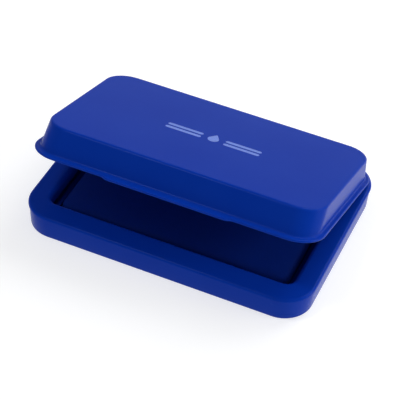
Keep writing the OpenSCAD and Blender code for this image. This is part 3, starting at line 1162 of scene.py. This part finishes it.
    def liner_stiffeners(self, plate: Plan, plate_top: float) -> list[bpy.types.Object]:
        """The ring and two ribs that hold the inner lid's plate off the lid's top.

        Args:
            plate: the plate's outline.
            plate_top: height of the plate's upper face.

        Returns:
            The ring and the ribs.
        """
        t, inward = self.liner_t, self.lean_front + self.liner_t
        wall = replace(plate.inset(inward), radius=plate.radius - inward / 2)
        low, high = plate_top - 0.1 * MM, self.top_z() - self.wall - FIT_GAP
        ring = Loft()
        for outline, z in ((wall, low), (wall, high), (wall.inset(t), high), (wall.inset(t), low)):
            ring.add(outline, z)
        pieces = [ring.mesh("inner_lid_ring", closed=True)]
        for side in Side:
            x = side.value * plate.half / 3
            pieces.append(block("inner_lid_rib", (x - t / 2, wall.front + t / 2, low),
                                (x + t / 2, wall.rear - t / 2, high)))
        return pieces

    def seal(self) -> bpy.types.Object:
        """The soft bead that closes on the bezel."""
        opening = Bezel(self.body, self.hinges).opening()
        t, out = self.seal_t, self.seal_out
        corner = opening.radius + out * (2 + math.sqrt(2)) + t / 2
        middle = replace(opening.inset(-out - t / 2), radius=corner)
        low_z, high_z = self.rim_z(), self.rim_z() + self.liner_depth - 0.02 * MM
        ring = Loft()
        ring.add(middle.inset(-t / 2), high_z)
        for i in range(2 * ARC_STEPS + 1):
            a = math.pi * i / (2 * ARC_STEPS)
            ring.add(middle.inset(-t / 2 * math.cos(a)), low_z + t / 2 - t / 2 * math.sin(a))
        ring.add(middle.inset(t / 2), high_z)
        made = self.raise_open(ring.mesh("seal_bead", closed=True))
        return place_piece(made, "lid", Slot.SEAL, "lid_seal")


@dataclass
class PrintedMark:
    """A plain pale-blue mark printed on the lid: a drop between two pairs of bars."""

    lid: Lid
    thick: float = 0.02 * MM
    length: float = 35 * MM
    tall: float = 6.6 * MM
    place: tuple[float, float] = (1.0 * MM, -0.6 * MM)
    colour: tuple[float, float, float] = (0.16, 0.26, 0.74)

    def build(self) -> bpy.types.Object:
        """Builds the mark and puts it on the lid."""
        bm = bmesh.new()
        top = self.lid.top()
        along, back = self.place
        centre = Vector((along, (top.front + top.rear) / 2 + back, self.lid.top_z()))
        bar, gap = self.length * 0.38, self.length * 0.12
        for sign in (-1, 1):
            for row in (-1, 1):
                middle = centre + Vector((sign * (gap + bar / 2), row * self.tall * 0.2, 0))
                self.pill(bm, middle, bar / 2, self.tall * 0.12)
        self.drop(bm, centre, self.tall * 0.42)
        piece = self.lid.raise_open(object_from(bm, "printed_mark"))
        piece.data.materials.append(self.ink())
        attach(piece, "lid")
        LOG.info("%s: %d faces, on lid", piece.name, len(piece.data.polygons))
        return piece

    def slab(self, bm: bmesh.types.BMesh, points: Sequence[Vector]) -> None:
        """Raises an outline into a thin slab.

        Args:
            bm: the mesh that it is added to.
            points: the outline, anticlockwise.
        """
        low = [bm.verts.new(p) for p in points]
        high = [bm.verts.new(p + Vector((0, 0, self.thick))) for p in points]
        for i in range(len(low)):
            j = (i + 1) % len(low)
            bm.faces.new((low[i], low[j], high[j], high[i]))
        bm.faces.new(high)
        bm.faces.new(list(reversed(low)))

    def pill(self, bm: bmesh.types.BMesh, middle: Vector, half: float, r: float) -> None:
        """A bar with round ends.

        Args:
            bm: the mesh that it is added to.
            middle: the bar's middle.
            half: half of its length.
            r: half of its width.
        """
        points = []
        for side, start in ((1, -90), (-1, 90)):
            for i in range(ARC_STEPS + 1):
                a = math.radians(start + 180 * i / ARC_STEPS)
                end = side * (half - r)
                points.append(middle + Vector((end + r * math.cos(a), r * math.sin(a), 0)))
        self.slab(bm, points)

    def drop(self, bm: bmesh.types.BMesh, middle: Vector, r: float) -> None:
        """A drop: a circle drawn up to a point.

        Args:
            bm: the mesh that it is added to.
            middle: the circle's middle.
            r: the circle's radius.
        """
        points = []
        steps = 6 * ARC_STEPS
        for i in range(steps):
            a = 2 * math.pi * i / steps
            lift = 0.55 * max(0.0, math.sin(a)) ** 3
            narrow = 1 - 0.45 * max(0.0, math.sin(a)) ** 2
            x, y = 0.72 * r * math.cos(a) * narrow, r * (math.sin(a) * 0.8 + lift)
            points.append(middle + Vector((x, y, 0)))
        self.slab(bm, points)

    def ink(self) -> bpy.types.Material:
        """Pad-printed ink, a little uneven."""
        n = Nodes("printed_ink")
        speckle = n.noise(3000, 3, 0.6)
        faded = tuple(0.7 * c for c in self.colour)
        return n.finish(Base__Color=n.blend(n.ramp(speckle, 0.35, 0.6), faded, self.colour),
                        Roughness=n.ramp(speckle, 0.3, 0.7, 0.45, 0.6),
                        Normal=n.bump(speckle, 0.004 * MM, 0.4))


# ---------------------------------------------------------------- camera, floor and light

@dataclass(frozen=True)
class Lamp:
    """A square soft lamp aimed at the object.

    Args:
        name: its name.
        place: where it stands, in metres.
        size: the length of its side.
        power: its power in watts.
    """

    name: str
    place: tuple[float, float, float]
    size: float
    power: float

    def build(self) -> None:
        """Adds the lamp to the scene."""
        data = bpy.data.lights.new(self.name, "AREA")
        data.size = self.size
        data.energy = self.power
        made = bpy.data.objects.new(self.name, data)
        made.location = self.place
        made.rotation_euler = (-Vector(self.place)).to_track_quat("-Z", "Y").to_euler()
        bpy.context.scene.collection.objects.link(made)


LAMPS = (
    Lamp("overhead", (0.25, 0.62, 0.70), 0.6, 4.5),
    Lamp("key", (-0.30, -0.22, 0.95), 0.15, 1.7),
    Lamp("side", (0.9, 0.25, 0.35), 0.45, 3.4),
)


@dataclass(frozen=True)
class Studio:
    """Floor, sky and lamps, and the camera."""

    azimuth: float = 21.25
    elevation: float = 43.25
    roll: float = 3.83
    distance: float = 561.8 * MM
    lens: float = 142.7
    shift: tuple[float, float] = (-0.0024, 0.0223)
    floor_half: float = 3.0
    floor_glow: float = 0.60
    sky: float = 0.50

    def build(self) -> None:
        """Sets up everything round the object."""
        self.floor()
        self.world()
        for lamp in LAMPS:
            lamp.build()
        self.camera()
        bpy.context.scene.view_settings.view_transform = "Standard"
        bpy.context.scene.view_settings.look = "None"

    def floor(self) -> None:
        """A plain pale floor, a hair below the object."""
        bm = bmesh.new()
        h, drop = self.floor_half, -0.02 * MM
        bm.faces.new([bm.verts.new((x, y, drop)) for x, y in ((-h, -h), (h, -h), (h, h), (-h, h))])
        ground = object_from(bm, "floor")
        n = Nodes("floor_paper")
        fleck = n.ramp(n.noise(20, 2, 0.4), 0.3, 0.7, 0.0, 0.04)
        ground.data.materials.append(n.finish(
            Base__Color=n.blend(fleck, (0.55, 0.55, 0.55), (0.50, 0.51, 0.52)), Roughness=0.8,
            Specular__IOR__Level=0.2, Emission__Color=(1.0, 1.0, 1.0), Emission__Strength=self.floor_glow))

    def world(self) -> None:
        """A pale sky, bright low down and dimmer overhead."""
        world = bpy.data.worlds.new("studio")
        world.use_nodes = True
        tree = world.node_tree
        back = tree.nodes["Background"]
        back.inputs["Strength"].default_value = self.sky
        where = tree.nodes.new("ShaderNodeTexCoord")
        split = tree.nodes.new("ShaderNodeSeparateXYZ")
        ramp = tree.nodes.new("ShaderNodeValToRGB")
        ramp.color_ramp.elements[0].position = 0.0
        ramp.color_ramp.elements[0].color = (1.0, 1.0, 1.0, 1.0)
        ramp.color_ramp.elements[1].position = 0.6
        ramp.color_ramp.elements[1].color = (0.60, 0.62, 0.66, 1.0)
        tree.links.new(where.outputs["Generated"], split.inputs[0])
        tree.links.new(split.outputs["Z"], ramp.inputs[0])
        tree.links.new(ramp.outputs[0], back.inputs["Color"])
        seen = tree.nodes.new("ShaderNodeBackground")
        seen.inputs["Color"].default_value = (0.95, 0.95, 0.96, 1.0)
        path = tree.nodes.new("ShaderNodeLightPath")
        mix = tree.nodes.new("ShaderNodeMixShader")
        tree.links.new(path.outputs["Is Camera Ray"], mix.inputs[0])
        tree.links.new(back.outputs[0], mix.inputs[1])
        tree.links.new(seen.outputs[0], mix.inputs[2])
        tree.links.new(mix.outputs[0], tree.nodes["World Output"].inputs["Surface"])
        bpy.context.scene.world = world

    def camera(self) -> None:
        """The camera, aimed at the middle of the tray's underside."""
        az, el, roll = (math.radians(a) for a in (self.azimuth, self.elevation, self.roll))
        back = Vector((math.sin(az) * math.cos(el), -math.cos(az) * math.cos(el), math.sin(el)))
        right = Vector((math.cos(az), math.sin(az), 0.0))
        up = back.cross(right)
        turned_up = up * math.cos(roll) - right * math.sin(roll)
        right = right * math.cos(roll) + up * math.sin(roll)
        data = bpy.data.cameras.new("camera")
        data.lens = self.lens
        data.sensor_width = 36.0
        data.shift_x, data.shift_y = self.shift
        data.clip_end = 20.0
        made = bpy.data.objects.new("camera", data)
        turn = Matrix((right, turned_up, back)).transposed().to_4x4()
        made.matrix_world = Matrix.Translation(back * self.distance) @ turn
        bpy.context.scene.collection.objects.link(made)
        bpy.context.scene.camera = made


def main() -> None:
    """Builds the studio, the base, the inking pad and the lid, in that order."""
    logging.basicConfig(level=logging.INFO, format="%(name)s %(message)s")
    Studio().build()
    body, hinges = Body.read(), HingeFit()
    Tray(body, hinges).build()
    Bezel(body, hinges).build()
    HingePins(body, hinges).build()
    Label().build()
    InkingPad().build()
    Lid(body, hinges).build()


if __name__ == "__main__":
    main()
